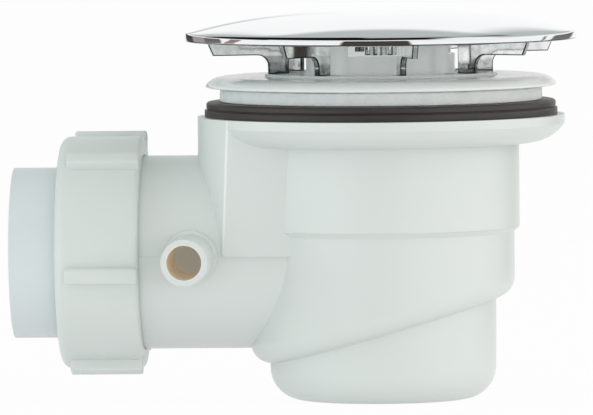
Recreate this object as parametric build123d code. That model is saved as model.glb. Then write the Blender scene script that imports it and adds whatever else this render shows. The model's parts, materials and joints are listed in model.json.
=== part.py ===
from build123d import *
import os
from math import cos, radians, tan

# Shower waste trap, in millimetres.
# The origin is the middle of the lower cup's underside, on the vertical axis of the waste.
# +Z is up, the outlet runs towards -X and the hose nozzle points to -Y.

# Trap body
wall = 2.2
body_height = 83.2
body_flange_radius = 53.8
body_flange_band = 2.6
body_flange_crease = 5.2
upper_cup_radius = 40.4
upper_cup_depth = 32.7
cup_step = 1.6
lower_cup_radius = 33.3
lower_cup_corner = 9.5
lower_cup_draft = 1.0
shelf_height = 20.0
shelf_slope = 16.1
shelf_corner = 6.0
weir_height = 62.0
window_head = 9.0

# Outlet chamber, spigot and hose nozzle of the body
outlet_height = 43.4
spigot_wall = 2.65
spigot_reach = 87.5
socket_depth = 21.5
socket_step = 1.35
mouth_chamfer = 1.8
chamber_half_width = 31.9
chamber_draft = 3.7
chamber_corner = 1.5
nozzle_distance = 54.5
nozzle_radius = 6.75
nozzle_wall = 1.7
nozzle_length = 28.0
nozzle_collar = 1.05
nozzle_collar_height = 1.65

# Outlet pipe and compression fitting
pipe_radius = 25.0
pipe_wall = 1.8
pipe_land = 0.4
pipe_free_length = 13.9
socket_gap = 0.5
nut_wall = 5.45
nut_end_wall = 3.0
nut_overlap = 17.8
nut_shoulder = 3.2
nut_rim_round = 1.6
nut_lugs = 6
nut_lug_height = 3.1
nut_lug_width = 4.6
nut_lug_setback = 3.2
nut_lug_chamfer = 0.6
nut_lug_angle = -98.0
washer_flange = 2.2
slip_ring_thickness = 1.3

# Gaskets and top flange
rubber_thickness = 4.35
rubber_radius = 51.7
rubber_lip = 1.8
rubber_lip_step = 0.5
rubber_groove = 0.5
rubber_groove_depth = 0.9
foam_thickness = 4.25
foam_radius = 47.3
foam_corner = 0.6
flange_radius = 51.5
flange_edge = 0.7
flange_crown_radius = 42.0
flange_crown_height = 3.2
neck_wall = 2.2
neck_depth = 11.0
neck_bore_radius = 34.2
ledge_depth = 3.3
ledge_thickness = 1.8
ledge_width = 2.3

# Dip tube and its seal
dip_tube_radius = 24.0
dip_tube_wall = 1.8
dip_tube_clearance = 9.6
dip_rim_height = 3.8
dip_rim_wall = 1.7
funnel_height = 10.5
funnel_skirt = 2.5
seal_section = 1.8
seal_land = 0.9

# Strainer
strainer_height = 3.5
strainer_ring_width = 2.5
tower_radius = 21.9
tower_wall = 1.8
tower_height = 11.7
tower_floor = 1.7
tower_notches = 4
tower_notch_width = 17.0
tower_notch_depth = 2.9
spoke_width = 2.4

# Cover
cover_radius = 57.5
cover_rim_height = 9.35
cover_rim_face = 2.75
cover_rim_bulge = 0.25
cover_rim_round = 0.5
cover_rim_wall = 2.1
cover_rise = 6.5
cover_shell = 1.7
rib_count = 8
rib_angle = 14.0
rib_thickness = 1.8
arm_height = 5.5
arm_reach = 50.0
arm_lean = 24.0
arm_fillet = 3.3
leg_inner_radius = 27.5
leg_width = 6.0
hub_radius = 4.7
hub_core_radius = 3.2
hub_height = 3.2

# Clearances
slide = 0.3
press = 0.05

# Levels above the origin
step_level = body_height - upper_cup_depth
foam_level = body_height + rubber_thickness
flange_level = foam_level + foam_thickness
crown_level = flange_level + flange_crown_height
ledge_level = flange_level - ledge_depth
rim_level = ledge_level + dip_rim_height
strainer_level = rim_level + strainer_height
tower_level = rim_level + tower_height
cover_level = strainer_level + cover_rim_height
apex_level = cover_level + cover_rim_face + cover_rise

# Radii and distances that follow from the sizes above
mid_cup_radius = upper_cup_radius - cup_step
body_bore_radius = upper_cup_radius - wall
well_radius = lower_cup_radius - wall
neck_radius = body_bore_radius - slide
dip_rim_radius = neck_bore_radius - slide
ledge_radius = neck_bore_radius - ledge_width
seal_floor_radius = neck_bore_radius - seal_section - 2 * press
land_radius = pipe_radius + pipe_land
socket_radius = land_radius + slide
spigot_radius = socket_radius + spigot_wall
flow_radius = socket_radius - socket_step
nut_bore_radius = spigot_radius + slide
nut_radius = nut_bore_radius + nut_wall
nut_start = spigot_reach - nut_overlap
washer_end = spigot_reach + press + washer_flange
slip_ring_end = washer_end + slip_ring_thickness
nut_floor = slip_ring_end + press
nut_end = nut_floor + nut_end_wall
pipe_start = spigot_reach - socket_depth + socket_gap
pipe_end = nut_end + pipe_free_length
nozzle_root = spigot_radius + nozzle_collar_height
nozzle_end = nozzle_root + nozzle_length
leg_outer_radius = leg_inner_radius + leg_width
cover_inner_radius = cover_radius - cover_rim_wall

on_base = (Align.CENTER, Align.CENTER, Align.MIN)


def column(radius, bottom, top):
    return Pos(0, 0, bottom) * Cylinder(radius, top - bottom, align=on_base)


def ring(outer, inner, bottom, top):
    return column(outer, bottom, top) - column(inner, bottom, top)


def turned(*points):
    return revolve(Plane.XZ * make_face(Polyline(*points, close=True).edges()), Axis.Z)


def on_outlet(solid):
    # Lays a solid made along +Z on the outlet's axis, its height becoming the distance towards -X
    return Pos(0, 0, outlet_height) * Rot(0, -90, 0) * solid


def on_nozzle(solid):
    # Lays a solid made along +Z on the nozzle's axis, its height becoming the distance towards -Y
    return Pos(-nozzle_distance, 0, outlet_height) * Rot(90, 0, 0) * solid


def above_shelf(solid, level):
    # Keeps what lies above the sloping plane that crosses the axis at the given level
    rise = tan(radians(shelf_slope))
    plane = Plane(origin=(0, 0, level), x_dir=(1, 0, rise), z_dir=(-rise, 0, 1))
    return split(solid, bisect_by=plane, keep=Keep.TOP)


def upper_cup():
    # Flange with a bulging underside that runs into the upper cup and its step
    band_level = body_height - body_flange_band
    crease_level = band_level - body_flange_crease
    bulge = cos(radians(45))
    bulge_point = (
        upper_cup_radius + (body_flange_radius - upper_cup_radius) * bulge,
        band_level - body_flange_crease * bulge,
    )
    outline = Polyline(
        (upper_cup_radius, crease_level),
        (upper_cup_radius, step_level),
        (mid_cup_radius, step_level - cup_step),
        (0, step_level - cup_step),
        (0, body_height),
        (body_flange_radius, body_height),
        (body_flange_radius, band_level),
    )
    underside = ThreePointArc(
        (body_flange_radius, band_level), bulge_point, (upper_cup_radius, crease_level)
    )
    return revolve(Plane.XZ * make_face(outline.edges() + underside.edges()), Axis.Z)


def mid_cup():
    cup = above_shelf(column(mid_cup_radius, 0, step_level), shelf_height)
    shelf_edges = cup.faces().sort_by(Axis.Z)[0].edges()
    return fillet(shelf_edges, shelf_corner)


def lower_cup():
    # Well, its outside tapering a little below the shelf
    base_radius = lower_cup_radius - shelf_height * tan(radians(lower_cup_draft))
    cup = turned(
        (0, 0),
        (base_radius, 0),
        (lower_cup_radius, shelf_height),
        (lower_cup_radius, step_level),
        (0, step_level),
    )
    return fillet(cup.edges().sort_by(Axis.Z)[0], lower_cup_corner)


def chamber_block(inset, bottom, top):
    # Drafted block between the cup and the flange's edge, on the outlet side
    lean = tan(radians(chamber_draft))
    top_half = chamber_half_width - inset - (body_height - top) * lean
    bottom_half = chamber_half_width - inset - (body_height - bottom) * lean
    section = Polyline(
        (-bottom_half, bottom), (bottom_half, bottom), (top_half, top), (-top_half, top), close=True
    )
    block = extrude(Plane.YZ * make_face(section.edges()), -body_flange_radius)
    return block & column(body_flange_radius - inset, bottom, top)


def chamber():
    block = chamber_block(0, outlet_height, body_height - body_flange_band / 2)
    upright = [
        edge
        for edge in block.edges()
        if edge.center().X < -lower_cup_radius and abs((edge @ 1).Z - (edge @ 0).Z) > wall
    ]
    return fillet(upright, chamber_corner)


def trap_body():
    body = upper_cup() + mid_cup() + lower_cup() + chamber()
    body += on_outlet(column(spigot_radius, 0, spigot_reach))
    body += on_nozzle(column(nozzle_radius + nozzle_collar, 0, nozzle_root))
    body += on_nozzle(column(nozzle_radius, 0, nozzle_end))

    # Overflow channel round the well, and the way out through the chamber and the spigot
    window_top = weir_height + window_head
    floor_rise = wall / cos(radians(shelf_slope))
    channel = above_shelf(column(mid_cup_radius - wall, 0, step_level), shelf_height + floor_rise)
    ceiling = body_height - body_flange_band
    hollow = chamber_block(wall, outlet_height, ceiling)
    hollow -= column(upper_cup_radius, window_top, ceiling)
    way_out = channel + hollow + on_outlet(column(flow_radius, 0, spigot_reach))
    way_out -= column(lower_cup_radius, 0, weir_height)

    well = column(well_radius, wall, body_height)
    well = fillet(well.edges().sort_by(Axis.Z)[0], lower_cup_corner - wall)
    mouth = turned(
        (0, spigot_reach - mouth_chamfer),
        (socket_radius, spigot_reach - mouth_chamfer),
        (socket_radius + mouth_chamfer, spigot_reach),
        (0, spigot_reach),
    )
    body -= way_out
    body -= well
    body -= column(body_bore_radius, step_level, body_height)
    body -= on_outlet(column(socket_radius, spigot_reach - socket_depth, spigot_reach))
    body -= on_outlet(mouth)
    body -= on_nozzle(column(nozzle_radius - nozzle_wall, 0, nozzle_end))
    return body


def rubber_gasket():
    bore = neck_radius + slide
    lip_bottom = foam_level - rubber_lip
    groove_bottom = lip_bottom - rubber_groove
    return turned(
        (bore, body_height),
        (rubber_radius, body_height),
        (rubber_radius, groove_bottom),
        (rubber_radius - rubber_groove_depth, groove_bottom),
        (rubber_radius - rubber_groove_depth, lip_bottom),
        (rubber_radius - rubber_lip_step, lip_bottom),
        (rubber_radius - rubber_lip_step, foam_level - rubber_lip_step),
        (rubber_radius - 2 * rubber_lip_step, foam_level),
        (bore, foam_level),
    )


def foam_gasket():
    gasket = ring(foam_radius, neck_radius + slide, foam_level, flange_level)
    rims = gasket.edges().filter_by(lambda edge: edge.bounding_box().max.X > foam_radius - foam_corner)
    return fillet(rims.filter_by(GeomType.CIRCLE), foam_corner)


def top_flange():
    # Flange with a convex top, its neck and the ledge inside the neck's bore
    neck_end = body_height - neck_depth
    neck_inner = neck_radius - neck_wall
    ledge_bottom = ledge_level - ledge_thickness
    edge_level = flange_level + flange_edge
    outline = Polyline(
        (flange_crown_radius, crown_level),
        (neck_bore_radius, crown_level),
        (neck_bore_radius, ledge_level),
        (ledge_radius, ledge_level),
        (ledge_radius, ledge_bottom),
        (neck_inner, ledge_bottom - (neck_inner - ledge_radius)),
        (neck_inner, neck_end),
        (neck_radius, neck_end),
        (neck_radius, flange_level),
        (flange_radius, flange_level),
        (flange_radius, edge_level),
    )
    convex = ThreePointArc(
        (flange_radius, edge_level),
        ((flange_radius + flange_crown_radius) / 2, crown_level - (crown_level - edge_level) / 4),
        (flange_crown_radius, crown_level),
    )
    return revolve(Plane.XZ * make_face(outline.edges() + convex.edges()), Axis.Z)


def dip_tube():
    # Rim on the flange's ledge, funnel through the ledge and tube down into the well
    end_level = wall + dip_tube_clearance
    skirt_radius = ledge_radius - 2 * slide
    skirt_level = ledge_level - funnel_skirt
    throat_level = skirt_level - funnel_height + funnel_skirt
    inner_radius = dip_tube_radius - dip_tube_wall
    rim_inner = seal_floor_radius - dip_rim_wall
    seal_bottom = ledge_level + seal_land
    seal_top = seal_bottom + seal_section + 2 * press
    return turned(
        (inner_radius, end_level),
        (dip_tube_radius, end_level),
        (dip_tube_radius, throat_level),
        (skirt_radius, skirt_level),
        (skirt_radius, ledge_level),
        (dip_rim_radius, ledge_level),
        (dip_rim_radius, seal_bottom),
        (seal_floor_radius, seal_bottom),
        (seal_floor_radius, seal_top),
        (dip_rim_radius, seal_top),
        (dip_rim_radius, rim_level),
        (rim_inner, rim_level),
        (rim_inner, skirt_level + dip_tube_wall),
        (inner_radius, throat_level + dip_tube_wall),
    )


def dip_tube_o_ring():
    section_radius = seal_section / 2
    middle = ledge_level + seal_land + press + section_radius
    return Pos(0, 0, middle) * Torus(seal_floor_radius + press + section_radius, section_radius)


def strainer():
    ring_radius = neck_bore_radius - slide
    ring_inner = ring_radius - strainer_ring_width
    grid = ring(ring_radius, ring_inner, rim_level, strainer_level)
    spoke_length = ring_inner - tower_radius + tower_wall
    spoke = Pos(tower_radius - tower_wall / 2, 0, rim_level) * Box(
        spoke_length, spoke_width, strainer_height, align=(Align.MIN, Align.CENTER, Align.MIN)
    )
    for index in range(rib_count):
        grid += Rot(0, 0, rib_angle + index * 360 / rib_count) * spoke
    tower = column(tower_radius, rim_level, tower_level)
    tower -= column(tower_radius - tower_wall, rim_level + tower_floor, tower_level)
    notch = Pos(0, 0, tower_level) * Box(
        tower_radius + tower_wall,
        tower_notch_width,
        2 * tower_notch_depth,
        align=(Align.MIN, Align.CENTER, Align.CENTER),
    )
    for index in range(tower_notches):
        tower -= Rot(0, 0, index * 360 / tower_notches) * notch
    return grid + tower


def dome_arc(drop, edge_radius, edge_level):
    # Shallow arc from the axis, lowered by drop from the dome's top, to a point near the rim
    top = apex_level - drop
    half = edge_radius / 2
    return ThreePointArc((0, top), (half, top - (top - edge_level) / 4), (edge_radius, edge_level))


def cover_dome():
    # Shallow dome whose rim has a slightly bulging face with rounded edges
    side = cover_radius - cover_rim_bulge
    rim_top = cover_level + cover_rim_face
    outer = dome_arc(0, side, rim_top)
    face = ThreePointArc(
        (side, rim_top), (cover_radius, cover_level + cover_rim_face / 2), (side, cover_level)
    )
    underside = Line((side, cover_level), (cover_inner_radius, cover_level))
    inner = dome_arc(cover_shell, cover_inner_radius, cover_level)
    axis = Line((0, apex_level), (0, apex_level - cover_shell))
    edges = [edge for piece in (outer, face, underside, inner, axis) for edge in piece.edges()]
    dome = revolve(Plane.XZ * make_face(edges), Axis.Z)
    rims = dome.edges().sort_by(SortBy.LENGTH)[-2:]
    return fillet(rims, cover_rim_round)


def cover_rib():
    # Radial plate under the dome: a fin of the hub, a leg that stands on the strainer, an arm to the rim
    arm_level = strainer_level + arm_height
    clear_level = tower_level + rib_thickness
    tip_level = cover_level + cover_shell
    tip_radius = arm_reach + (tip_level - arm_level) * tan(radians(arm_lean))
    top = dome_arc(cover_shell / 2, cover_inner_radius, tip_level)
    outline = Polyline(
        (0, apex_level - cover_shell / 2),
        (0, tower_level - hub_height),
        (hub_radius, tower_level - hub_height),
        (hub_radius, clear_level),
        (leg_inner_radius, clear_level),
        (leg_inner_radius, strainer_level),
        (leg_outer_radius, strainer_level),
        (leg_outer_radius, arm_level - arm_fillet),
    )
    bend = RadiusArc(
        (leg_outer_radius, arm_level - arm_fillet), (leg_outer_radius + arm_fillet, arm_level), arm_fillet
    )
    arm = Polyline(
        (leg_outer_radius + arm_fillet, arm_level),
        (arm_reach, arm_level),
        (tip_radius, tip_level),
        (cover_inner_radius, tip_level),
    )
    edges = outline.edges() + bend.edges() + arm.edges() + top.edges()
    return extrude(Plane.XZ * make_face(edges), rib_thickness / 2, both=True)


def cover():
    shell = cover_dome() + column(hub_core_radius, tower_level - hub_height, apex_level - cover_shell / 2)
    rib = cover_rib()
    for index in range(rib_count):
        shell += Rot(0, 0, rib_angle + index * 360 / rib_count) * rib
    return shell


def outlet_nut():
    shell = turned(
        (nut_bore_radius, nut_start),
        (nut_radius, nut_start),
        (nut_radius, nut_end),
        (land_radius + slide, nut_end),
        (land_radius + slide, nut_floor),
        (nut_bore_radius, nut_floor),
    )
    shell = fillet(shell.edges().sort_by(SortBy.LENGTH)[-2:].sort_by(Axis.Z)[-1], nut_shoulder)
    shell = fillet(shell.edges().sort_by(SortBy.LENGTH)[-2:].sort_by(Axis.Z)[0], nut_rim_round)
    lug = Pos(nut_bore_radius + nut_wall / 2, 0, nut_start) * Box(
        nut_wall / 2 + nut_lug_height,
        nut_lug_width,
        nut_end - nut_lug_setback - nut_start,
        align=(Align.MIN, Align.CENTER, Align.MIN),
    )
    lug = chamfer(lug.edges().filter_by(Axis.Y).sort_by(Axis.Z)[-1:], nut_lug_chamfer)
    for index in range(nut_lugs):
        shell += Rot(0, 0, nut_lug_angle + index * 360 / nut_lugs) * lug
    return on_outlet(shell)


def cone_washer():
    bore = land_radius + press
    return on_outlet(
        turned(
            (bore, spigot_reach - mouth_chamfer + 2 * press),
            (socket_radius, spigot_reach - mouth_chamfer + 2 * press),
            (socket_radius + mouth_chamfer - 3 * press, spigot_reach),
            (spigot_radius, spigot_reach + press),
            (spigot_radius, washer_end),
            (bore, washer_end),
        )
    )


def slip_ring():
    return on_outlet(ring(spigot_radius, land_radius + slide, washer_end, slip_ring_end))


def outlet_pipe():
    bore = pipe_radius - pipe_wall
    return on_outlet(
        turned(
            (bore, pipe_start),
            (land_radius, pipe_start),
            (land_radius, nut_end),
            (pipe_radius, nut_end),
            (pipe_radius, pipe_end),
            (bore, pipe_end),
        )
    )


nodes = {
    "cover": cover,
    "strainer": strainer,
    "dip_tube": dip_tube,
    "dip_tube_o_ring": dip_tube_o_ring,
    "top_flange": top_flange,
    "foam_gasket": foam_gasket,
    "rubber_gasket": rubber_gasket,
    "trap_body": trap_body,
    "outlet_nut": outlet_nut,
    "slip_ring": slip_ring,
    "cone_washer": cone_washer,
    "outlet_pipe": outlet_pipe,
}

os.makedirs("parts", exist_ok=True)
for name, make in nodes.items():
    export_step(make(), f"parts/{name}.step")
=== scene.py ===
import json
from math import cos, hypot, radians, sin, tan
import bpy
from mathutils import Matrix, Vector


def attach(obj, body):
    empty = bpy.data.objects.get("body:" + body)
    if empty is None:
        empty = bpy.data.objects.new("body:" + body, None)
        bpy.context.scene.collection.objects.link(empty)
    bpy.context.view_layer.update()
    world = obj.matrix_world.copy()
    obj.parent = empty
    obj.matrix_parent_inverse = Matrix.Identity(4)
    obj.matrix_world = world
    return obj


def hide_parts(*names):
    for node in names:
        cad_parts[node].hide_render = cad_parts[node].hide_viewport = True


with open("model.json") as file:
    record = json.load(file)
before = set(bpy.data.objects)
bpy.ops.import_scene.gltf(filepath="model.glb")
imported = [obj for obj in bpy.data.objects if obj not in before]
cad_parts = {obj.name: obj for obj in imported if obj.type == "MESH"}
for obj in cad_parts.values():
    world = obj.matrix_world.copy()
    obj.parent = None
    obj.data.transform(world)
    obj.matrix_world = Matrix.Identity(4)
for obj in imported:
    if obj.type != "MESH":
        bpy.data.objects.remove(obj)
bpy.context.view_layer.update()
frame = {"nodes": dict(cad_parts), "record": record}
nodes = frame["nodes"]
bpy.ops.object.select_all(action="DESELECT")
mm = 0.001
print("frame loaded:", len(nodes), "nodes")


# Camera, at the photo's viewing angle
shot = {
    "target": (-0.0251, 0.0, 0.0562),
    "azimuth": 3.2,
    "elevation": 3.0,
    "roll": -0.55,
    "distance": 2.75,
    "pixelsPerMetre": 3408,
    "imageWidth": 593,
    "sensor": 36.0,
}


def placeCamera():
    around, up = radians(shot["azimuth"]), radians(shot["elevation"])
    lean = radians(shot["roll"])
    forward = Vector((-sin(around) * cos(up), cos(around) * cos(up), -sin(up)))
    level = Vector((cos(around), sin(around), 0))
    upright = level.cross(forward)
    right = level * cos(lean) + upright * sin(lean)
    top = upright * cos(lean) - level * sin(lean)
    turn = Matrix((right, top, -forward)).transposed().to_4x4()
    bpy.ops.object.camera_add()
    camera = bpy.context.object
    camera.name = "photoCamera"
    camera.matrix_world = Matrix.Translation(Vector(shot["target"]) - forward * shot["distance"]) @ turn
    camera.data.sensor_width = shot["sensor"]
    camera.data.lens = shot["sensor"] * shot["pixelsPerMetre"] * shot["distance"] / shot["imageWidth"]
    bpy.context.scene.camera = camera


placeCamera()
print("camera placed")


# Small helpers for node trees
def addNode(tree, kind, **settings):
    node = tree.nodes.new(kind)
    for name, value in settings.items():
        setattr(node, name, value)
    return node


def setInputs(node, **values):
    for name, value in values.items():
        node.inputs[name].default_value = value


def rgba(colour):
    return (*colour, 1.0)


def addMath(tree, operation, first, second=None, third=None):
    node = addNode(tree, "ShaderNodeMath", operation=operation)
    for socket, value in zip(node.inputs, (first, second, third)):
        if isinstance(value, bpy.types.NodeSocket):
            tree.links.new(value, socket)
        elif value is not None:
            socket.default_value = value
    return node.outputs["Value"]


def addProduct(tree, first, *others):
    for other in others:
        first = addMath(tree, "MULTIPLY", first, other)
    return first


def addDistance(tree, first, second):
    squares = addMath(tree, "MULTIPLY_ADD", second, second, addMath(tree, "MULTIPLY", first, first))
    return addMath(tree, "SQRT", squares)


def addStep(tree, value, start, end):
    node = addNode(tree, "ShaderNodeMapRange", interpolation_type="SMOOTHSTEP")
    setInputs(node, **{"From Min": start, "From Max": end})
    tree.links.new(value, node.inputs["Value"])
    return node.outputs["Result"]


def addBand(tree, value, level, width):
    return addStep(tree, addMath(tree, "ABSOLUTE", addMath(tree, "SUBTRACT", value, level)), *width)


def addBlend(tree, factor, first, second, mode="MIX"):
    node = addNode(tree, "ShaderNodeMix", data_type="RGBA", blend_type=mode)
    if isinstance(factor, bpy.types.NodeSocket):
        tree.links.new(factor, node.inputs["Factor"])
    else:
        node.inputs["Factor"].default_value = factor
    for socket, colour in ((node.inputs["A"], first), (node.inputs["B"], second)):
        if isinstance(colour, bpy.types.NodeSocket):
            tree.links.new(colour, socket)
        else:
            socket.default_value = rgba(colour)
    return node.outputs["Result"]


# Studio: white surroundings with a few dark cards for the metal, three soft boxes.
# Places in the surroundings are shares of a direction: across, away from the camera and up.
studio = {
    "ambientLow": (0.745, 0.738, 0.735),
    "ambientHigh": (0.72, 0.715, 0.715),
    "ambientLeft": (0.94, 1.0, 0.985),
    "ambientRight": (1.16, 1.14, 1.10),
    "ambientRise": (0.0, 0.5),
    "backdrop": (1.0, 1.0, 1.0),
    "backdropTop": (0.50, 0.535, 0.53),
    "backdropRise": (0.14, 0.30),
    "middleRise": (0.455, 0.50),
    "middleAt": -0.05,
    "middleWidth": (0.075, 0.115),
    "cameraSide": (0.95, 0.955, 0.95),
    "cameraSideEnd": (-0.30, -0.12),
    "ceiling": (0.008, 0.008, 0.008),
    "ceilingBehind": (0.70, 0.78),
    "ceilingInFront": (0.20, 0.28),
    "ceilingAcross": (0.72, 0.45),
    "cameraStand": (0.032, 0.021, 0.015),
    "standEdge": (-0.935, -0.95),
    "standTop": (0.14, 0.11),
    "skylight": (0.56, 0.585, 0.58),
    "skylightFrom": (0.80, 0.90),
    "skylightAway": (-0.20, 0.10),
    "cards": [
        {"side": -1, "away": (-0.06, 0.16), "height": (-0.30, 0.16), "lean": 0.12, "tone": (0.30, 0.21, 0.20)},
        {"side": -1, "away": (0.23, 0.60), "height": (-0.28, 0.15), "lean": -0.3, "tone": (0.15, 0.135, 0.12)},
        {"side": -1, "away": (0.53, 0.84), "height": (-0.36, 0.16), "lean": -0.3, "tone": (0.34, 0.33, 0.315)},
        {"side": -1, "away": (0.76, 0.972), "height": (-0.44, 0.17), "lean": -0.3, "tone": (0.05, 0.05, 0.05)},
        {"side": -1, "away": (-0.40, 0.62), "height": (0.17, 1.2), "lean": 0.0, "tone": (0.008, 0.008, 0.008)},
        {"side": 1, "away": (0.38, 0.47), "height": (-0.30, 0.10), "lean": -0.4, "tone": (0.06, 0.06, 0.06)},
        {"side": 1, "away": (0.55, 0.95), "height": (-0.40, 0.10), "lean": -0.5, "tone": (0.15, 0.155, 0.15)},
    ],
    "cardFrom": 0.05,
    "cardEdge": 0.05,
    "rimLevel": 0.106,
    "floorClear": (0.18, 0.32),
    "standClear": (0.12, 0.18),
    "floorTint": (0.84, 0.835, 0.83),
    "floorGlow": 0.955,
    "floorFill": 0.29,
    "floorSize": 14.0,
    "rightBox": {"at": (1.10, -0.10, 0.30), "size": (0.9, 0.9), "power": 3.0, "tint": (1.0, 0.985, 0.95)},
    "leftBox": {"at": (-1.13, -0.20, 0.30), "size": (0.9, 0.9), "power": 3.4, "tint": (0.91, 1.0, 1.0)},
    "frontBox": {"at": (0.10, -1.5, 0.10), "size": (1.2, 0.35), "power": 4.6, "tint": (1.0, 1.0, 1.0)},
    "aim": (-0.02, 0.0, 0.06),
}


def addSoftBox(name, box):
    toward = Vector(studio["aim"]) - Vector(box["at"])
    turn = toward.to_track_quat("-Z", "Y").to_euler()
    bpy.ops.object.light_add(type="AREA", location=box["at"], rotation=turn)
    lamp = bpy.context.object
    lamp.name = name
    lamp.data.shape = "RECTANGLE"
    lamp.data.size, lamp.data.size_y = box["size"]
    lamp.data.energy = box["power"]
    lamp.data.color = box["tint"]
    lamp.visible_glossy = False


def hangCards(tree, across, away, height, mirror, shown=None):
    # Dark cards beside the backdrop, each by its side, its way round, its height and its lean
    start, soft = studio["cardFrom"], studio["cardEdge"]
    for card in studio["cards"]:
        mask = addStep(tree, addMath(tree, "MULTIPLY", across, card["side"]), start, start + soft)
        leaning = addMath(tree, "MULTIPLY_ADD", height, card["lean"], away)
        for value, (low, high) in ((leaning, card["away"]), (height, card["height"])):
            inside = addStep(tree, value, low, low + soft), addStep(tree, value, high, high - soft)
            mask = addProduct(tree, mask, *inside)
        if shown is not None:
            mask = addProduct(tree, mask, shown)
        mirror = addBlend(tree, mask, mirror, card["tone"])
    return mirror


def addMirrored(tree, across, away, height):
    # What the metal sees. Behind the object: white low down, grey higher up, black overhead
    white, grey, black = studio["backdrop"], studio["backdropTop"], studio["ceiling"]
    sides = addBlend(tree, addStep(tree, height, *studio["backdropRise"]), white, grey)
    middle = addBlend(tree, addStep(tree, height, *studio["middleRise"]), white, grey)
    offMiddle = addBand(tree, across, studio["middleAt"], studio["middleWidth"])
    behind = addBlend(tree, offMiddle, middle, sides)
    behind = addBlend(tree, addStep(tree, height, *studio["ceilingBehind"]), behind, black)
    # Camera's side: white low down, black above, a dark stand in the middle
    overhead = addProduct(
        tree, addStep(tree, height, *studio["ceilingInFront"]), addStep(tree, across, *studio["ceilingAcross"])
    )
    infront = addBlend(tree, overhead, studio["cameraSide"], black)
    stand = addProduct(tree, addStep(tree, away, *studio["standEdge"]), addStep(tree, height, *studio["standTop"]))
    infront = addBlend(tree, stand, infront, studio["cameraStand"])
    mirror = addBlend(tree, addStep(tree, away, *studio["cameraSideEnd"]), infront, behind)
    # Light from above, for the dome seen from higher up
    above = addProduct(
        tree, addStep(tree, height, *studio["skylightFrom"]), addStep(tree, away, *studio["skylightAway"])
    )
    mirror = addBlend(tree, above, mirror, studio["skylight"])
    return hangCards(tree, across, away, height, mirror)


def buildWorld():
    world = bpy.data.worlds.new("studioWorld")
    world.use_nodes = True
    bpy.context.scene.world = world
    tree = world.node_tree
    tree.nodes.clear()
    direction = addNode(tree, "ShaderNodeTexCoord")
    parts = addNode(tree, "ShaderNodeSeparateXYZ")
    tree.links.new(direction.outputs["Generated"], parts.inputs["Vector"])
    across, away, height = (parts.outputs[name] for name in "XYZ")
    mirror = addMirrored(tree, across, away, height)
    rise = addStep(tree, height, *studio["ambientRise"])
    ambient = addBlend(tree, rise, studio["ambientLow"], studio["ambientHigh"])
    tint = addBlend(tree, addStep(tree, across, -1.0, 1.0), studio["ambientLeft"], studio["ambientRight"])
    ambient = addBlend(tree, 1.0, ambient, tint, "MULTIPLY")
    path = addNode(tree, "ShaderNodeLightPath")
    seen = addBlend(tree, path.outputs["Is Glossy Ray"], ambient, mirror)
    seen = addBlend(tree, path.outputs["Is Camera Ray"], seen, studio["backdrop"])
    background = addNode(tree, "ShaderNodeBackground")
    output = addNode(tree, "ShaderNodeOutputWorld")
    tree.links.new(seen, background.inputs["Color"])
    tree.links.new(background.outputs["Background"], output.inputs["Surface"])


def layFloor():
    bpy.ops.mesh.primitive_plane_add(size=studio["floorSize"], location=(0, 0, 0))
    floor = bpy.context.object
    floor.name = "studioFloor"
    paint = bpy.data.materials.new("floorPaper")
    paint.use_nodes = True
    tree = paint.node_tree
    tree.nodes.clear()
    path = addNode(tree, "ShaderNodeLightPath")
    glossy = path.outputs["Is Glossy Ray"]
    seen = addMath(tree, "MAXIMUM", path.outputs["Is Camera Ray"], glossy)
    seen = addMath(tree, "MAXIMUM", seen, path.outputs["Is Transmission Ray"])
    seen = addMath(tree, "MULTIPLY", seen, studio["floorGlow"])
    fill = addMath(tree, "MULTIPLY", path.outputs["Is Diffuse Ray"], studio["floorFill"])
    share = addMath(tree, "MAXIMUM", seen, fill)
    matte = addNode(tree, "ShaderNodeBsdfDiffuse")
    matte.inputs["Color"].default_value = rgba(studio["floorTint"])
    # Metal sees the cards and the camera's stand also on the floor, away from the object
    place = addNode(tree, "ShaderNodeTexCoord")
    parts = addNode(tree, "ShaderNodeSeparateXYZ")
    tree.links.new(place.outputs["Object"], parts.inputs["Vector"])
    reach = addNode(tree, "ShaderNodeVectorMath", operation="LENGTH")
    tree.links.new(place.outputs["Object"], reach.inputs[0])
    length = addMath(tree, "MAXIMUM", reach.outputs["Value"], mm)
    across = addMath(tree, "DIVIDE", parts.outputs["X"], length)
    away = addMath(tree, "DIVIDE", parts.outputs["Y"], length)
    sunk = addMath(tree, "DIVIDE", -studio["rimLevel"], length)
    isCard = addProduct(tree, addStep(tree, length, *studio["floorClear"]), glossy)
    shade = hangCards(tree, across, away, sunk, studio["backdrop"], isCard)
    isStand = addProduct(
        tree, addStep(tree, length, *studio["standClear"]), glossy, addStep(tree, away, *studio["standEdge"])
    )
    glow = addNode(tree, "ShaderNodeEmission")
    mix = addNode(tree, "ShaderNodeMixShader")
    output = addNode(tree, "ShaderNodeOutputMaterial")
    link = tree.links.new
    link(addBlend(tree, isStand, shade, studio["cameraStand"]), glow.inputs["Color"])
    link(share, mix.inputs["Fac"])
    link(matte.outputs["BSDF"], mix.inputs[1])
    link(glow.outputs["Emission"], mix.inputs[2])
    link(mix.outputs["Shader"], output.inputs["Surface"])
    floor.data.materials.append(paint)


bpy.context.scene.view_settings.view_transform = "Standard"
buildWorld()
layFloor()
for name in ("rightBox", "leftBox", "frontBox"):
    addSoftBox(name, studio[name])
bpy.ops.object.select_all(action="DESELECT")
print("studio built")


# Helpers for modelling
def pickPiece(piece):
    bpy.ops.object.select_all(action="DESELECT")
    piece.select_set(True)
    bpy.context.view_layer.objects.active = piece


def startEdit(piece):
    pickPiece(piece)
    bpy.ops.object.mode_set(mode="EDIT")


def endEdit():
    bpy.ops.object.mode_set(mode="OBJECT")


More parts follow.
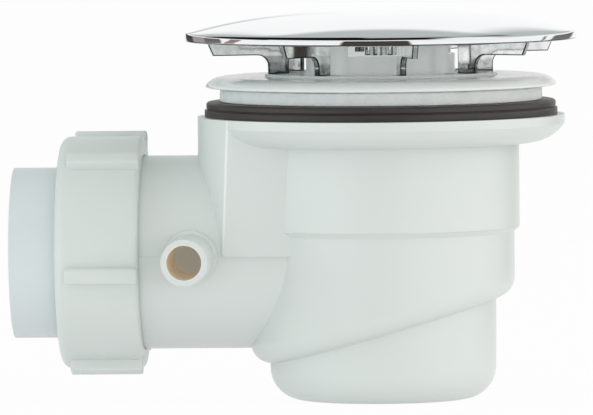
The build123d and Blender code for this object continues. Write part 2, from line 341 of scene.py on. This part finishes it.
def useModifier(piece, kind, **settings):
    pickPiece(piece)
    modifier = piece.modifiers.new(kind.lower(), kind)
    for name, value in settings.items():
        setattr(modifier, name, value)
    bpy.ops.object.modifier_apply(modifier=modifier.name)


def roundEdges(piece, width, segments, angle):
    useModifier(
        piece, "BEVEL", width=width * mm, segments=segments, limit_method="ANGLE", angle_limit=radians(angle)
    )


def tidyMesh(piece):
    startEdit(piece)
    bpy.ops.mesh.select_all(action="SELECT")
    bpy.ops.mesh.remove_doubles(threshold=1e-6)
    bpy.ops.mesh.normals_make_consistent(inside=False)
    endEdit()


def smoothShade(piece, angle):
    pickPiece(piece)
    bpy.ops.object.shade_smooth_by_angle(angle=radians(angle))


def arcPoints(centre, radius, start, end, steps):
    turns = [radians(start + (end - start) * step / steps) for step in range(steps + 1)]
    return [(centre[0] + radius * cos(turn), centre[1] + radius * sin(turn)) for turn in turns]


def turnPiece(name, profile, segments, capped=False):
    # A ring of points is drawn along a profile of radius and height in mm, as on a lathe
    bpy.ops.object.select_all(action="DESELECT")
    radius, height = profile[0]
    bpy.ops.mesh.primitive_circle_add(vertices=segments, radius=radius * mm)
    piece = bpy.context.object
    piece.name = name
    startEdit(piece)
    bpy.ops.mesh.select_all(action="SELECT")
    bpy.ops.transform.translate(value=(0, 0, height * mm))
    if capped:
        bpy.ops.mesh.edge_face_add()
        bpy.ops.mesh.select_all(action="SELECT")
    loop = profile[1:] if capped else profile[1:] + profile[:1]
    extrude = bpy.ops.mesh.extrude_region_move if capped else bpy.ops.mesh.extrude_edges_move
    for nextRadius, nextHeight in loop:
        extrude()
        bpy.ops.transform.translate(value=(0, 0, (nextHeight - height) * mm))
        scale = nextRadius / radius
        bpy.ops.transform.resize(value=(scale, scale, 1))
        radius, height = nextRadius, nextHeight
    endEdit()
    tidyMesh(piece)
    return piece


def linkPiece(name, data):
    piece = bpy.data.objects.new(name, data)
    bpy.context.collection.objects.link(piece)
    pickPiece(piece)
    return piece


def drawLine(name, points, closed=False):
    # A curve through points in mm, for a plate's outline or a bead
    curve = bpy.data.curves.new(name, "CURVE")
    curve.dimensions = "2D" if closed else "3D"
    line = curve.splines.new("POLY")
    line.points.add(len(points) - 1)
    for point, place in zip(line.points, points):
        point.co = (*(length * mm for length in place), 1)
    line.use_cyclic_u = closed
    return curve


def curveToMesh(name, curve):
    piece = linkPiece(name, curve)
    bpy.ops.object.convert(target="MESH")
    tidyMesh(piece)
    return piece


def joinPieces(pieces, name):
    bpy.ops.object.select_all(action="DESELECT")
    for piece in pieces:
        piece.select_set(True)
    bpy.context.view_layer.objects.active = pieces[0]
    bpy.ops.object.join()
    pieces[0].name = name
    return pieces[0]


def setDown(piece, turn=(0, 0, 0), place=(0, 0, 0)):
    # Moves a piece to its place and leaves its object at the origin
    pickPiece(piece)
    piece.rotation_euler = [radians(angle) for angle in turn]
    piece.location = [length * mm for length in place]
    bpy.ops.object.transform_apply(location=True, rotation=True, scale=True)


def copyAround(piece, count, first):
    # Turns copies of a piece about the upright axis, each with its own mesh
    copies = []
    for index in range(1, count):
        pickPiece(piece)
        bpy.ops.object.duplicate(linked=False)
        copies.append(bpy.context.object)
        setDown(copies[-1], turn=(0, 0, first + 360 / count * index))
    setDown(piece, turn=(0, 0, first))
    return [piece] + copies


def markFaces(piece, name, rule):
    marks = piece.data.attributes.new(name, "FLOAT", "FACE")
    for face, mark in zip(piece.data.polygons, marks.data):
        mark.value = rule(face)


def enrol(piece, node):
    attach(piece, "root")
    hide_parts(node)


# Cover: thin dome with a rim, eight radial plates with legs, a hub in the middle.
# A plate's outline is its distance from the middle and its height.
coverSizes = {
    "radius": 57.25,
    "bulge": 0.25,
    "rimBottom": 105.15,
    "rimTop": 107.9,
    "apex": 114.4,
    "innerRadius": 55.4,
    "innerApex": 112.7,
    "crown": 2.6,
    "faceRadius": 3.9,
    "faceTurn": 12.0,
    "faceSteps": 8,
    "topRound": 0.8,
    "topTurn": 73.0,
    "topSteps": 8,
    "bottomRound": 0.45,
    "bottomSteps": 5,
    "segments": 240,
    "rings": 26,
    "shadeAngle": 30,
    "rimEdgeHeight": 0.52,
    "rimEdgeInset": 1.1,
    "plates": 8,
    "firstPlate": 14.0,
    "plateThickness": 1.8,
    "plateRound": 0.32,
    "plateRoundSteps": 2,
    "plateLeg": [(0, 100.8), (4.7, 100.8), (4.7, 105.8), (27.5, 105.8), (27.5, 95.8), (33.5, 95.8)],
    "plateBend": (36.8, 98.0),
    "plateBendRadius": 3.3,
    "plateBendSteps": 6,
    "plateArm": [(50.0, 101.3), (52.47, 106.85)],
    "plateReach": 55.4,
    "plateTop": 113.55,
    "plateDrop": 6.7,
    "plateTopSteps": 12,
    "plateSlant": (0.15, 0.97),
    "plateShadeAngle": 60,
    "hubRadius": 3.2,
    "hubTopRadius": 2.8,
    "hubInnerRing": 0.3,
    "hubInto": 0.5,
    "hubBottom": 100.8,
    "hubRound": 0.3,
    "hubRoundSteps": 2,
    "hubSharpAngle": 40,
    "hubSegments": 48,
}
reflectionZones = {"dome": 0.0, "plate": 0.5, "edge": 1.0}


def domeProfile(radius, edge, apex, rings, outward):
    steps = range(1, rings + 1) if outward else range(rings, 0, -1)
    return [(radius * step / rings, apex - (apex - edge) * (step / rings) ** coverSizes["crown"]) for step in steps]


def makeDome():
    size = coverSizes
    # The rim's face bulges a little, and runs round into the dome and under the rim
    turn, faceRadius = size["faceTurn"], size["faceRadius"]
    middle = (size["radius"] + size["bulge"] - faceRadius, (size["rimTop"] + size["rimBottom"]) / 2)
    face = arcPoints(middle, faceRadius, turn, -turn, size["faceSteps"])
    away, up = cos(radians(turn)), sin(radians(turn))
    top = (face[0][0] - size["topRound"] * away, face[0][1] - size["topRound"] * up)
    bottom = (face[-1][0] - size["bottomRound"] * away, face[-1][1] + size["bottomRound"] * up)
    upper = arcPoints(top, size["topRound"], size["topTurn"], turn, size["topSteps"])[:-1]
    lower = arcPoints(bottom, size["bottomRound"], -turn, -90, size["bottomSteps"])[1:]
    outer = domeProfile(upper[0][0], upper[0][1], size["apex"], size["rings"], True)
    rim = upper[1:] + face + lower
    inner = domeProfile(size["innerRadius"], size["rimBottom"], size["innerApex"], size["rings"], False)
    dome = turnPiece("coverDome", outer + rim + inner, size["segments"], capped=True)
    startEdit(dome)  # the inner wall's last ring is closed by a face, as the outer one's is
    bpy.ops.mesh.select_all(action="DESELECT")
    bpy.ops.mesh.select_non_manifold()
    bpy.ops.mesh.edge_face_add()
    bpy.ops.mesh.select_all(action="SELECT")
    bpy.ops.mesh.normals_make_consistent(inside=False)
    endEdit()
    return dome


def makePlate():
    size = coverSizes
    bend = arcPoints(size["plateBend"], size["plateBendRadius"], 180, 90, size["plateBendSteps"])
    shares = [step / size["plateTopSteps"] for step in range(size["plateTopSteps"], -1, -1)]
    top = [(size["plateReach"] * share, size["plateTop"] - size["plateDrop"] * share ** 2) for share in shares]
    outline = size["plateLeg"] + bend + size["plateArm"] + top
    curve = drawLine("platePath", [(across, height, 0) for across, height in outline], closed=True)
    curve.fill_mode = "BOTH"
    curve.extrude = (size["plateThickness"] / 2 - size["plateRound"]) * mm
    curve.bevel_depth = size["plateRound"] * mm
    curve.bevel_resolution = size["plateRoundSteps"]
    curve.offset = -size["plateRound"] * mm
    plate = curveToMesh("coverPlate", curve)
    low, high = size["plateSlant"]
    # The plate's rounded edges are marked for a painted dark reflection line
    markFaces(plate, "reflectionZones", lambda face: reflectionZones["edge" if low < abs(face.normal.z) < high else "plate"])
    setDown(plate, turn=(90, 0, 0))
    smoothShade(plate, size["plateShadeAngle"])
    useModifier(plate, "WEIGHTED_NORMAL", weight=100)  # keeps the plate's sides flat
    return plate


def makeHub():
    size = coverSizes
    radius, top, bottom = size["hubRadius"], size["innerApex"] + size["hubInto"], size["hubBottom"]
    profile = [(size["hubTopRadius"], top), (radius, top), (radius, bottom), (size["hubInnerRing"], bottom)]
    hub = turnPiece("coverHub", profile, size["hubSegments"], capped=True)
    roundEdges(hub, size["hubRound"], size["hubRoundSteps"], size["hubSharpAngle"])
    smoothShade(hub, size["hubSharpAngle"])
    markFaces(hub, "reflectionZones", lambda face: reflectionZones["plate"])
    return hub


def makeCover():
    size = coverSizes
    dome = makeDome()
    smoothShade(dome, size["shadeAngle"])
    highest = (size["rimBottom"] + size["rimEdgeHeight"]) * mm
    inside = (size["innerRadius"] + size["rimEdgeInset"]) * mm

    def isRimEdge(face):
        return face.center.z < highest and hypot(*face.center.xy) > inside

    # The rim's bottom edge is marked for the same painted dark reflection line
    markFaces(dome, "reflectionZones", lambda face: reflectionZones["edge" if isRimEdge(face) else "dome"])
    plates = copyAround(makePlate(), size["plates"], size["firstPlate"])
    cover = joinPieces([dome] + plates + [makeHub()], "domedCover")
    enrol(cover, "cover")
    return cover


# Top flange: convex top, rounded edge, neck and ledge inside
flangeSizes = {
    "radius": 51.5,
    "bottom": 91.8,
    "edgeTop": 92.5,
    "crownRadius": 42.0,
    "crown": 95.0,
    "inside": [
        (34.2, 95.0), (34.2, 88.5), (31.9, 88.5), (31.9, 86.7),
        (35.7, 82.9), (35.7, 72.2), (37.9, 72.2), (37.9, 91.8),
    ],
    "slopeSteps": 16,
    "fullness": 4.5,
    "edgeRound": 0.65,
    "roundSteps": 3,
    "roundFrom": 35,
    "shadeAngle": 30,
    "segments": 200,
}


def makeFlange():
    size = flangeSizes
    reach, drop = size["radius"] - size["crownRadius"], size["crown"] - size["edgeTop"]
    shares = [step / size["slopeSteps"] for step in range(size["slopeSteps"], -1, -1)]
    convex = [
        (size["crownRadius"] + reach * share, size["crown"] - drop * share ** size["fullness"]) for share in shares
    ]
    profile = size["inside"] + [(size["radius"], size["bottom"])] + convex
    flange = turnPiece("topFlangeRing", profile, size["segments"])
    roundEdges(flange, size["edgeRound"], size["roundSteps"], size["roundFrom"])
    smoothShade(flange, size["shadeAngle"])
    enrol(flange, "top_flange")
    return flange


# Rubber gasket: lower ring, groove and a lip with a slanted edge
rubberSizes = {
    "profile": [
        (38.2, 83.2), (51.7, 83.2), (51.7, 85.3), (50.8, 85.3), (50.8, 85.75),
        (51.2, 85.75), (51.2, 87.05), (50.7, 87.55), (38.2, 87.55),
    ],
    "edgeRound": 0.16,
    "roundSteps": 2,
    "roundFrom": 30,
    "shadeAngle": 35,
    "segments": 200,
}


def makeRubber():
    size = rubberSizes
    rubber = turnPiece("rubberSeal", size["profile"], size["segments"])
    roundEdges(rubber, size["edgeRound"], size["roundSteps"], size["roundFrom"])
    smoothShade(rubber, size["shadeAngle"])
    enrol(rubber, "rubber_gasket")
    return rubber


# Foam gasket: soft ring, its side bulging a little, its skin uneven
foamSizes = {
    "bore": 38.2,
    "radius": 47.3,
    "bottom": 87.55,
    "top": 91.8,
    "corner": (0.6, 0.24),
    "lip": (1.3, 0.55),
    "bulge": 0.12,
    "unevenness": 0.10,
    "cellSize": 1.6,
    "cellDepth": 2,
    "shadeAngle": 60,
    "segments": 320,
    "rows": 14,
}


def makeFoam():
    size = foamSizes
    bore, radius, bottom, top = size["bore"], size["radius"], size["bottom"], size["top"]
    # The top corner is pressed back under the flange, so a thin shadow shows there
    (cornerDepth, cornerHeight), (lipDepth, lipHeight) = size["corner"], size["lip"]
    low, high = bottom + cornerHeight, top - lipHeight
    side = []
    for step in range(size["rows"] + 1):
        share = step / size["rows"]
        side.append((radius - size["bulge"] * (2 * share - 1) ** 2, low + (high - low) * share))
    profile = [(bore, bottom), (radius - cornerDepth, bottom)] + side + [(radius - lipDepth, top), (bore, top)]
    foam = turnPiece("foamSeal", profile, size["segments"])
    cells = bpy.data.textures.new("foamCells", "CLOUDS")
    cells.noise_scale = size["cellSize"] * mm
    cells.noise_depth = size["cellDepth"]
    useModifier(
        foam, "DISPLACE", texture=cells, texture_coords="LOCAL", strength=size["unevenness"] * mm, mid_level=1.0
    )
    smoothShade(foam, size["shadeAngle"])
    enrol(foam, "foam_gasket")
    return foam


# Compression nut: turned shell with rounded ends and six grip lugs
nutSizes = {
    "radius": 34.1,
    "start": 69.7,
    "end": 94.1,
    "startRound": 1.6,
    "startSteps": 4,
    "endRound": 3.2,
    "endSteps": 5,
    "inside": 28.65,
    "floor": 91.1,
    "bore": 25.7,
    "segments": 200,
    "lugs": 6,
    "firstLug": -98.0,
    "lugFrom": 31.375,
    "lugTo": 37.2,
    "lugWidth": 4.6,
    "lugStart": 69.7,
    "lugEnd": 90.9,
    "lugRound": 0.7,
    "lugRoundSteps": 3,
    "sharpAngle": 40,
    "axisHeight": 43.4,
}


def makeLug():
    size = nutSizes
    near, far, start, end = size["lugFrom"], size["lugTo"], size["lugStart"], size["lugEnd"]
    bpy.ops.object.select_all(action="DESELECT")
    bpy.ops.mesh.primitive_cube_add(size=1)
    lug = bpy.context.object
    lug.scale = ((far - near) * mm, size["lugWidth"] * mm, (end - start) * mm)
    setDown(lug, place=((far + near) / 2, 0, (end + start) / 2))
    roundEdges(lug, size["lugRound"], size["lugRoundSteps"], size["sharpAngle"])
    return lug


def makeShell():
    size = nutSizes
    radius, start, end, endRound, startRound = (
        size[name] for name in ("radius", "start", "end", "endRound", "startRound")
    )
    endArc = arcPoints((radius - endRound, end - endRound), endRound, 90, 0, size["endSteps"])
    startArc = arcPoints((radius - startRound, start + startRound), startRound, 0, -90, size["startSteps"])
    hollow = [(size["inside"], start), (size["inside"], size["floor"]), (size["bore"], size["floor"])]
    return turnPiece("nutShell", [(size["bore"], end)] + endArc + startArc + hollow, size["segments"])


def makeNut():
    size = nutSizes
    pieces = [makeShell()] + copyAround(makeLug(), size["lugs"], size["firstLug"])
    for piece in pieces:
        smoothShade(piece, size["sharpAngle"])
    nut = joinPieces(pieces, "compressionNut")
    setDown(nut, turn=(0, -90, 0), place=(0, 0, size["axisHeight"]))
    enrol(nut, "outlet_nut")
    return nut


# Trap body: the moulding's own surface, its seams closed and its rounds shaded as one
bodySizes = {
    "shadeAngle": 32.0,
    "channelRadius": 36.6,
    "floorLevel": 22.29,
    "shelfSlope": 16.1,
    "shelfCorner": 6.0,
    "wall": 2.2,
    "beadRadius": 0.6,
    "beadRoundSteps": 4,
    "beadReach": 50,
    "beadStride": 2,
    "beadProud": 0.02,
}


def makeBead():
    # Round bead along the channel's low corner, where the wall is thinnest behind the shelf's round edge
    size = bodySizes
    upward = Vector((0, 1))
    places = []
    for turn in range(-size["beadReach"], size["beadReach"] + 1, size["beadStride"]):
        slope = tan(radians(size["shelfSlope"])) * cos(radians(turn))
        inward = (Vector((-1, slope)).normalized() + upward).normalized()
        half = inward.angle(upward)
        poke = max(0, (size["shelfCorner"] * (1 - sin(half)) - size["wall"]) / sin(half))
        setBack = poke - size["beadProud"] + size["beadRadius"]
        reach = size["channelRadius"] + inward.x * setBack
        height = size["floorLevel"] - size["channelRadius"] * slope + inward.y * setBack
        around = radians(180 + turn)
        places.append((reach * cos(around), reach * sin(around), height))
    curve = drawLine("beadPath", places)
    curve.bevel_depth = size["beadRadius"] * mm
    curve.bevel_resolution = size["beadRoundSteps"]
    curve.use_fill_caps = True
    return curveToMesh("channelBead", curve)


def makeBody():
    body = linkPiece("mouldedBody", nodes["trap_body"].data.copy())
    bpy.ops.mesh.customdata_custom_splitnormals_clear()
    tidyMesh(body)
    body = joinPieces([body, makeBead()], "mouldedBody")
    smoothShade(body, bodySizes["shadeAngle"])
    enrol(body, "trap_body")
    return body


visuals = {
    "white_body": makeBody(),
    "chrome_cover": makeCover(),
    "white_gloss": makeFlange(),
    "black_rubber": makeRubber(),
    "white_foam": makeFoam(),
    "white_nut": makeNut(),
}
print("pieces modelled")


# Grain shared by the mouldings: slow drift of tone, fine grain in roughness and height
grainSettings = {
    "drift": {"Detail": 3.0, "Roughness": 0.55},
    "contrast": {"From Min": 0.32, "From Max": 0.68},
    "grain": {"Detail": 4.0, "Roughness": 0.6},
    "middle": 0.5,
}


def buildGrainGroup():
    group = bpy.data.node_groups.new("mouldGrain", "ShaderNodeTree")
    for name, kind in (
        ("Tone", "NodeSocketColor"),
        ("Second Tone", "NodeSocketColor"),
        ("Drift Scale", "NodeSocketFloat"),
        ("Grain Scale", "NodeSocketFloat"),
        ("Roughness", "NodeSocketFloat"),
        ("Roughness Spread", "NodeSocketFloat"),
    ):
        group.interface.new_socket(name, in_out="INPUT", socket_type=kind)
    for name, kind in (
        ("Color", "NodeSocketColor"),
        ("Roughness", "NodeSocketFloat"),
        ("Height", "NodeSocketFloat"),
    ):
        group.interface.new_socket(name, in_out="OUTPUT", socket_type=kind)
    given = addNode(group, "NodeGroupInput")
    result = addNode(group, "NodeGroupOutput")
    place = addNode(group, "ShaderNodeTexCoord")
    drift = addNode(group, "ShaderNodeTexNoise")
    setInputs(drift, **grainSettings["drift"])
    contrast = addNode(group, "ShaderNodeMapRange")
    setInputs(contrast, **grainSettings["contrast"])
    grain = addNode(group, "ShaderNodeTexNoise")
    setInputs(grain, **grainSettings["grain"])
    link = group.links.new
    link(place.outputs["Object"], drift.inputs["Vector"])
    link(place.outputs["Object"], grain.inputs["Vector"])
    link(given.outputs["Drift Scale"], drift.inputs["Scale"])
    link(given.outputs["Grain Scale"], grain.inputs["Scale"])
    link(drift.outputs["Fac"], contrast.inputs["Value"])
    colour = addBlend(group, contrast.outputs["Result"], given.outputs["Tone"], given.outputs["Second Tone"])
    centred = addMath(group, "SUBTRACT", grain.outputs["Fac"], grainSettings["middle"])
    rough = addMath(group, "MULTIPLY_ADD", centred, given.outputs["Roughness Spread"], given.outputs["Roughness"])
    link(colour, result.inputs["Color"])
    link(rough, result.inputs["Roughness"])
    link(grain.outputs["Fac"], result.inputs["Height"])
    return group


grainGroup = buildGrainGroup()


def makeFinish(name, finish):
    material = bpy.data.materials.new(name)
    material.use_nodes = True
    tree = material.node_tree
    shader = tree.nodes["Principled BSDF"]
    grain = addNode(tree, "ShaderNodeGroup", node_tree=grainGroup)
    setInputs(grain, **{
        "Tone": rgba(finish["tone"]),
        "Second Tone": rgba(finish["secondTone"]),
        "Drift Scale": finish["driftScale"],
        "Grain Scale": finish["grainScale"],
        "Roughness": finish["roughness"],
        "Roughness Spread": finish["roughnessSpread"],
    })
    bump = addNode(tree, "ShaderNodeBump")
    setInputs(bump, Strength=finish["bump"], Distance=finish["bumpDepth"])
    link = tree.links.new
    link(grain.outputs["Color"], shader.inputs["Base Color"])
    link(grain.outputs["Roughness"], shader.inputs["Roughness"])
    link(grain.outputs["Height"], bump.inputs["Height"])
    link(bump.outputs["Normal"], shader.inputs["Normal"])
    for socket, value in finish.get("shader", {}).items():
        shader.inputs[socket].default_value = value
    return material


finishes = {
    "white_body": {
        "tone": (0.714, 0.748, 0.739), "secondTone": (0.702, 0.752, 0.737), "driftScale": 16.0,
        "grainScale": 900.0, "roughness": 0.33, "roughnessSpread": 0.12, "bump": 0.06, "bumpDepth": 0.0002,
    },
    "white_nut": {
        "tone": (0.702, 0.744, 0.731), "secondTone": (0.688, 0.738, 0.722), "driftScale": 22.0,
        "grainScale": 1100.0, "roughness": 0.36, "roughnessSpread": 0.12, "bump": 0.06, "bumpDepth": 0.0002,
    },
    "white_pipe": {
        "tone": (0.715, 0.770, 0.785), "secondTone": (0.690, 0.750, 0.765), "driftScale": 20.0,
        "grainScale": 700.0, "roughness": 0.40, "roughnessSpread": 0.10, "bump": 0.05, "bumpDepth": 0.0002,
    },
    "white_gloss": {
        "tone": (0.780, 0.812, 0.807), "secondTone": (0.760, 0.796, 0.791), "driftScale": 18.0,
        "grainScale": 900.0, "roughness": 0.16, "roughnessSpread": 0.06, "bump": 0.03, "bumpDepth": 0.0001,
    },
    "white_foam": {
        "tone": (0.870, 0.905, 0.905), "secondTone": (0.800, 0.840, 0.845), "driftScale": 260.0,
        "grainScale": 1500.0, "roughness": 0.85, "roughnessSpread": 0.1, "bump": 0.5, "bumpDepth": 0.0006,
    },
    "black_rubber": {
        "tone": (0.050, 0.043, 0.040), "secondTone": (0.038, 0.034, 0.033), "driftScale": 60.0,
        "grainScale": 1200.0, "roughness": 0.42, "roughnessSpread": 0.15, "bump": 0.10, "bumpDepth": 0.0003,
    },
    "chrome_cover": {
        "tone": (0.90, 0.91, 0.915), "secondTone": (0.88, 0.89, 0.90), "driftScale": 25.0,
        "grainScale": 260.0, "roughness": 0.045, "roughnessSpread": 0.03, "bump": 0.012, "bumpDepth": 0.0002,
        "shader": {"Metallic": 1.0},
    },
}

materials = {slot: makeFinish(slot + "Finish", finish) for slot, finish in finishes.items()}


# Helpers for marks on the finishes, placed in mm
def placeInMm(tree):
    place = addNode(tree, "ShaderNodeTexCoord")
    parts = addNode(tree, "ShaderNodeSeparateXYZ")
    tree.links.new(place.outputs["Object"], parts.inputs["Vector"])
    return [addMath(tree, "DIVIDE", parts.outputs[name], mm) for name in "XYZ"]


def giveGlow(tree, glow):
    shader = tree.nodes["Principled BSDF"]
    tree.links.new(glow, shader.inputs["Emission Color"])
    shader.inputs["Emission Strength"].default_value = 1.0


# Chrome: bright on the dome; on the plates a mottled, duller tone, partly duller plating and partly painted darker
# reflection; painted shade on the legs and the outer left plate; painted dark reflection lines along the plates'
# edges and the rim's bottom edge
chromeReflectionPaint = {
    "plateFrom": (0.2, 0.4),
    "edgeFrom": (0.7, 0.9),
    "plateReflectionTone": (0.86, 0.875, 0.87),
    "plateSecondReflectionTone": (0.70, 0.72, 0.71),
    "legShadeTone": (0.50, 0.52, 0.51),
    "legSecondShadeTone": (0.20, 0.215, 0.21),
    "legFrom": (99.9, 98.3),
    "sideFrom": (-25.0, -29.0),
    "sideShadeTone": (0.66, 0.69, 0.675),
    "sideLegShadeTone": (0.36, 0.385, 0.375),
    "sideLegFrom": (101.4, 100.9),
    "darkEdgeReflectionTone": (0.09, 0.09, 0.09),
    "mottle": {"Scale": 420.0, "Detail": 3.0, "Roughness": 0.6},
    "spotsFrom": (0.38, 0.66),
    "plateRoughness": 0.02,
    "plateDents": 1.2,
}


def paintChromeReflections(material):
    reflectionPaint = chromeReflectionPaint
    tree = material.node_tree
    shader = tree.nodes["Principled BSDF"]
    marks = addNode(tree, "ShaderNodeAttribute", attribute_name="reflectionZones")
    isPlate = addStep(tree, marks.outputs["Fac"], *reflectionPaint["plateFrom"])
    isPaintedDarkEdge = addStep(tree, marks.outputs["Fac"], *reflectionPaint["edgeFrom"])
    place = addNode(tree, "ShaderNodeTexCoord")
    mottle = addNode(tree, "ShaderNodeTexNoise")
    setInputs(mottle, **reflectionPaint["mottle"])
    tree.links.new(place.outputs["Object"], mottle.inputs["Vector"])
    spots = addStep(tree, mottle.outputs["Fac"], *reflectionPaint["spotsFrom"])
    across, _, height = placeInMm(tree)
    # Painted reflection on the plates, mottled, and painted shade on the legs below legFrom
    plate = addBlend(tree, spots, reflectionPaint["plateReflectionTone"], reflectionPaint["plateSecondReflectionTone"])
    leg = addBlend(tree, spots, reflectionPaint["legShadeTone"], reflectionPaint["legSecondShadeTone"])
    plate = addBlend(tree, addStep(tree, height, *reflectionPaint["legFrom"]), plate, leg)
    # Painted shade: the outer left plate is darker, most of all its foot
    sideShade = addBlend(tree, addStep(tree, height, *reflectionPaint["sideLegFrom"]), reflectionPaint["sideShadeTone"], reflectionPaint["sideLegShadeTone"])
    sideShaded = addBlend(tree, 1.0, plate, sideShade, "MULTIPLY")
    plate = addBlend(tree, addStep(tree, across, *reflectionPaint["sideFrom"]), plate, sideShaded)
    # Painted dark reflection line along the marked edges
    plate = addBlend(tree, isPaintedDarkEdge, plate, reflectionPaint["darkEdgeReflectionTone"])
    bright = shader.inputs["Base Color"].links[0].from_socket
    tree.links.new(addBlend(tree, isPlate, bright, plate), shader.inputs["Base Color"])
    smooth = shader.inputs["Roughness"].links[0].from_socket
    rough = addMath(tree, "MULTIPLY_ADD", isPlate, reflectionPaint["plateRoughness"], smooth)
    tree.links.new(rough, shader.inputs["Roughness"])
    bump = shader.inputs["Normal"].links[0].from_node
    grain = bump.inputs["Height"].links[0].from_socket
    dents = addProduct(tree, mottle.outputs["Fac"], isPlate, reflectionPaint["plateDents"])
    tree.links.new(addMath(tree, "ADD", grain, dents), bump.inputs["Height"])


# Body: a parting line down the chamber's corner, made lighter as a painted highlight, a seam along the spigot, a
# painted shadow in the crease under the upper cup, a painted warm glow in the nozzle's bore
bodyMarksAndPaintedLight = {
    "nozzleAxis": (-54.5, 43.4),
    "boreRadius": 5.3,
    "boreEnd": -21.0,
    "innerWall": 25.0,
    "innerRadius": 20.0,
    "boreGlow": (0.108, 0.064, 0.026),
    "cornerRadius": 53.8,
    "cornerHalfWidth": 31.9,
    "cornerLean": 0.0647,
    "topLevel": 83.2,
    "lineFrom": 44.2,
    "lineWidth": (0.42, 0.28),
    "partingLineHighlightTone": (0.84, 0.875, 0.86),
    "stepLevel": 50.45,
    "stepWidth": (0.22, 0.08),
    "stepFrom": -24.5,
    "stepRadius": 38.0,
    "seamLevel": 43.55,
    "seamWidth": (0.26, 0.10),
    "seamTo": -46.5,
    "seamClear": 8.0,
    "seamAndShadowTone": (0.66, 0.70, 0.685),
}


def markBodyAndPaintLight(material):
    marks = bodyMarksAndPaintedLight
    tree = material.node_tree
    shader = tree.nodes["Principled BSDF"]
    across, away, height = placeInMm(tree)
    reach = addDistance(tree, across, away)
    # Bore: a painted warm glow on the tube's inside and on what is seen through it, standing in for light let
    # through the white plastic
    nozzleAcross, nozzleHeight = marks["nozzleAxis"]
    raised = addMath(tree, "SUBTRACT", height, nozzleHeight)
    fromAxis = addDistance(tree, addMath(tree, "SUBTRACT", across, nozzleAcross), raised)
    inTube = addProduct(
        tree,
        addMath(tree, "LESS_THAN", fromAxis, marks["boreRadius"]),
        addMath(tree, "LESS_THAN", away, marks["boreEnd"]),
    )
    behind = addProduct(
        tree,
        addMath(tree, "LESS_THAN", fromAxis, marks["innerRadius"]),
        addMath(tree, "LESS_THAN", addDistance(tree, away, raised), marks["innerWall"]),
    )
    isLit = addMath(tree, "MAXIMUM", inTube, behind)
    giveGlow(tree, addBlend(tree, isLit, (0, 0, 0), marks["boreGlow"]))
    # Parting line with a painted highlight: a lighter line where the chamber's front meets its round end, for the
    # mould's parting line and the light along its rounded corner
    lowWidth = marks["cornerHalfWidth"] - marks["topLevel"] * marks["cornerLean"]
    halfWidth = addMath(tree, "MULTIPLY_ADD", height, marks["cornerLean"], lowWidth)
    offRound = addMath(tree, "SUBTRACT", reach, marks["cornerRadius"])
    fromLine = addDistance(tree, offRound, addMath(tree, "ADD", away, halfWidth))
    line = addProduct(
        tree,
        addStep(tree, fromLine, *marks["lineWidth"]),
        addMath(tree, "LESS_THAN", across, 0.0),
        addMath(tree, "GREATER_THAN", height, marks["lineFrom"]),
    )
    plain = shader.inputs["Base Color"].links[0].from_socket
    lined = addBlend(tree, line, plain, marks["partingLineHighlightTone"])
    # Fine seam along the spigot's front, at the outlet's middle
    seam = addProduct(
        tree,
        addBand(tree, height, marks["seamLevel"], marks["seamWidth"]),
        addMath(tree, "LESS_THAN", across, marks["seamTo"]),
        addMath(tree, "GREATER_THAN", fromAxis, marks["seamClear"]),
    )
    # Painted shadow: a dark line in the crease under the upper cup
    creaseShadow = addProduct(
        tree,
        addBand(tree, height, marks["stepLevel"], marks["stepWidth"]),
        addMath(tree, "GREATER_THAN", across, marks["stepFrom"]),
        addMath(tree, "GREATER_THAN", reach, marks["stepRadius"]),
    )
    # The spigot's seam and the crease's painted shadow share one darker tone
    seamAndCreaseShadow = addMath(tree, "MAXIMUM", seam, creaseShadow)
    tree.links.new(addBlend(tree, seamAndCreaseShadow, lined, marks["seamAndShadowTone"]), shader.inputs["Base Color"])


# Strainer: a painted glow on the thin white walls, standing in for the light they let through, most of all inside
# the tower
strainerGlowPaint = {
    "towerRadius": (23.0, 22.5),
    "towerGlow": (0.095, 0.10, 0.098),
    "insideRadius": (21.2, 20.8),
    "insideGlow": (0.26, 0.27, 0.265),
}


def paintStrainerGlow(material):
    marks = strainerGlowPaint
    tree = material.node_tree
    across, away, _ = placeInMm(tree)
    reach = addDistance(tree, across, away)
    glow = addBlend(tree, addStep(tree, reach, *marks["towerRadius"]), (0, 0, 0), marks["towerGlow"])
    glow = addBlend(tree, addStep(tree, reach, *marks["insideRadius"]), glow, marks["insideGlow"])
    giveGlow(tree, glow)


paintChromeReflections(materials["chrome_cover"])
markBodyAndPaintLight(materials["white_body"])
paintStrainerGlow(materials["white_gloss"])
slotOfNode = {part["node"]: part["material_slot"] for part in frame["record"]["subparts"]}
for name, node in nodes.items():
    for holder in node.material_slots:
        holder.material = materials[slotOfNode[name]]
for slot, piece in visuals.items():
    piece.data.materials.clear()
    piece.data.materials.append(materials[slot])
print("finishes given:", len(materials))
